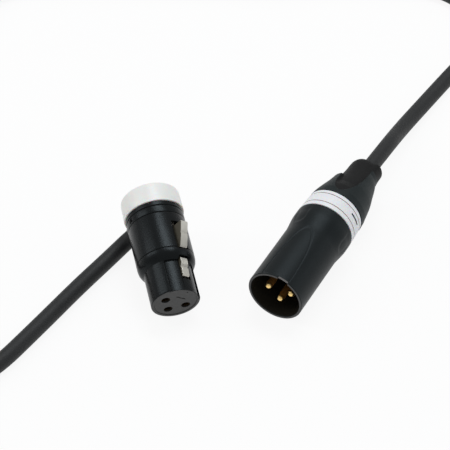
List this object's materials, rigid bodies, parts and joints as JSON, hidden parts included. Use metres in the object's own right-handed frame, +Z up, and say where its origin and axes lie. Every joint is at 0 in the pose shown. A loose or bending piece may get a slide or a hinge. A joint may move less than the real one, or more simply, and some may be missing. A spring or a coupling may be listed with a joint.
{
  "type": "microphone cable with connectors",
  "caption": "Short balanced microphone lead: a low-profile right-angle female XLR connector, a straight male XLR connector with a screw boot, and the cable between them, lying in one turn round both",
  "frame": {"origin": "on the table under the middle of the two connectors' box", "axes": "+X across from the female connector to the male one, +Y away from the mating faces, +Z up; all lies on the table at z = 0"},
  "size_m": [0.2178, 0.2067, 0.0252],
  "materials": {
    "black_shell": "satin black",
    "socket_block": "moulded dark grey",
    "latch_nickel": "satin nickel",
    "steel": "plain",
    "black_screws": "black oxide",
    "white_cap": "smooth white",
    "black_rubber": "soft black",
    "inner_plastic": "plain black",
    "wire_sleeves": "coloured sleeves",
    "dark_shell": "satin black, slightly blue",
    "pin_block": "black",
    "white_ring": "satin white",
    "boot_plastic": "fine matt black",
    "gold_contacts": "gold plated",
    "cable_jacket": "matt black jacket"
  },
  "bodies": {
    "lead": {"female_shell": "black_shell", "female_insert": "socket_block", "female_contact_1": "gold_contacts", "female_contact_2": "gold_contacts", "female_contact_3": "gold_contacts", "latch_pin": "steel", "cable_collar": "black_shell", "collar_screws": "black_screws", "end_cap": "white_cap", "cable_grommet": "black_rubber", "clamp_base": "inner_plastic", "clamp_bar": "steel", "clamp_screws": "steel", "female_wires": "wire_sleeves", "male_shell": "dark_shell", "male_insert": "pin_block", "male_pin_1": "gold_contacts", "male_pin_2": "gold_contacts", "male_pin_3": "gold_contacts", "coding_ring": "white_ring", "male_wires": "wire_sleeves", "cable": "cable_jacket"},
    "latch": {"latch_lever": "latch_nickel"},
    "chuck": {"cable_chuck": "inner_plastic"},
    "boot": {"strain_boot": "boot_plastic"}
  },
  "joints": [
    {"name": "latch_press", "type": "hinge", "parent": "lead", "child": "latch", "pos_m": [-0.02639, -0.00303, 0.01862], "axis": [0.7606, 0.2992, -0.5762], "range_deg": [0, 4.5], "stiffness_Nm_per_rad": 0.2, "springref_deg": -2.86},
    {"name": "chuck_slide", "type": "slide", "parent": "lead", "child": "chuck", "axis": [0.4862, 0.8735, 0.0226], "range_m": [0, 0.0045]},
    {"name": "boot_turn", "type": "hinge", "parent": "chuck", "child": "boot", "pos_m": [0.03118, 0.01585, 0.01062], "axis": [0.4862, 0.8735, 0.0226], "range_deg": [0, 1080]}
  ],
  "couplings": [
    {"joint": "boot_turn", "follows": "chuck_slide", "rad_per_m": 4188.8}
  ]
}
